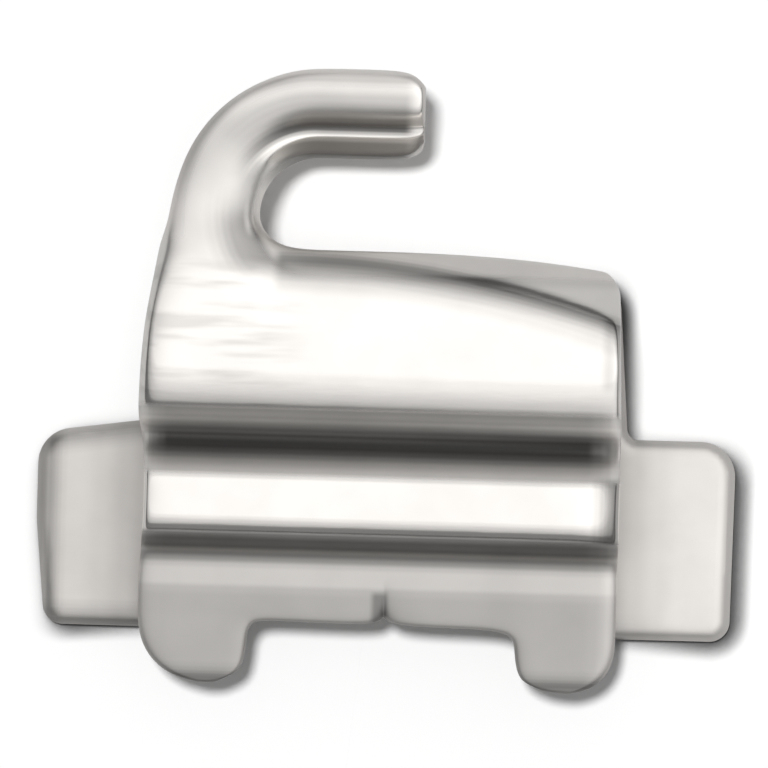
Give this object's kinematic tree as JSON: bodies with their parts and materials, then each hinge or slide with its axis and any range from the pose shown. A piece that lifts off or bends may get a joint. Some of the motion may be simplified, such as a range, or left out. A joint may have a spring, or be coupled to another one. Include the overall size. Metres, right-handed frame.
{
  "type": "buccal tube",
  "caption": "Orthodontic molar tube: cast body with archwire passage, smooth barrel, curved hook and tie wings on a thin curved weld flange.",
  "frame": {"origin": "back of the weld flange's flat land, straight behind the middle of the archwire passage", "axes": "+X along the archwire passage towards its flared mouth, +Y towards the hook, +Z away from the tooth"},
  "size_m": [0.0061, 0.0054, 0.0019],
  "materials": {
    "polished_casting": "polished",
    "flange_sheet": "satin"
  },
  "bodies": {
    "root": {"tube_body": "polished_casting", "weld_flange": "flange_sheet"}
  },
  "joints": []
}
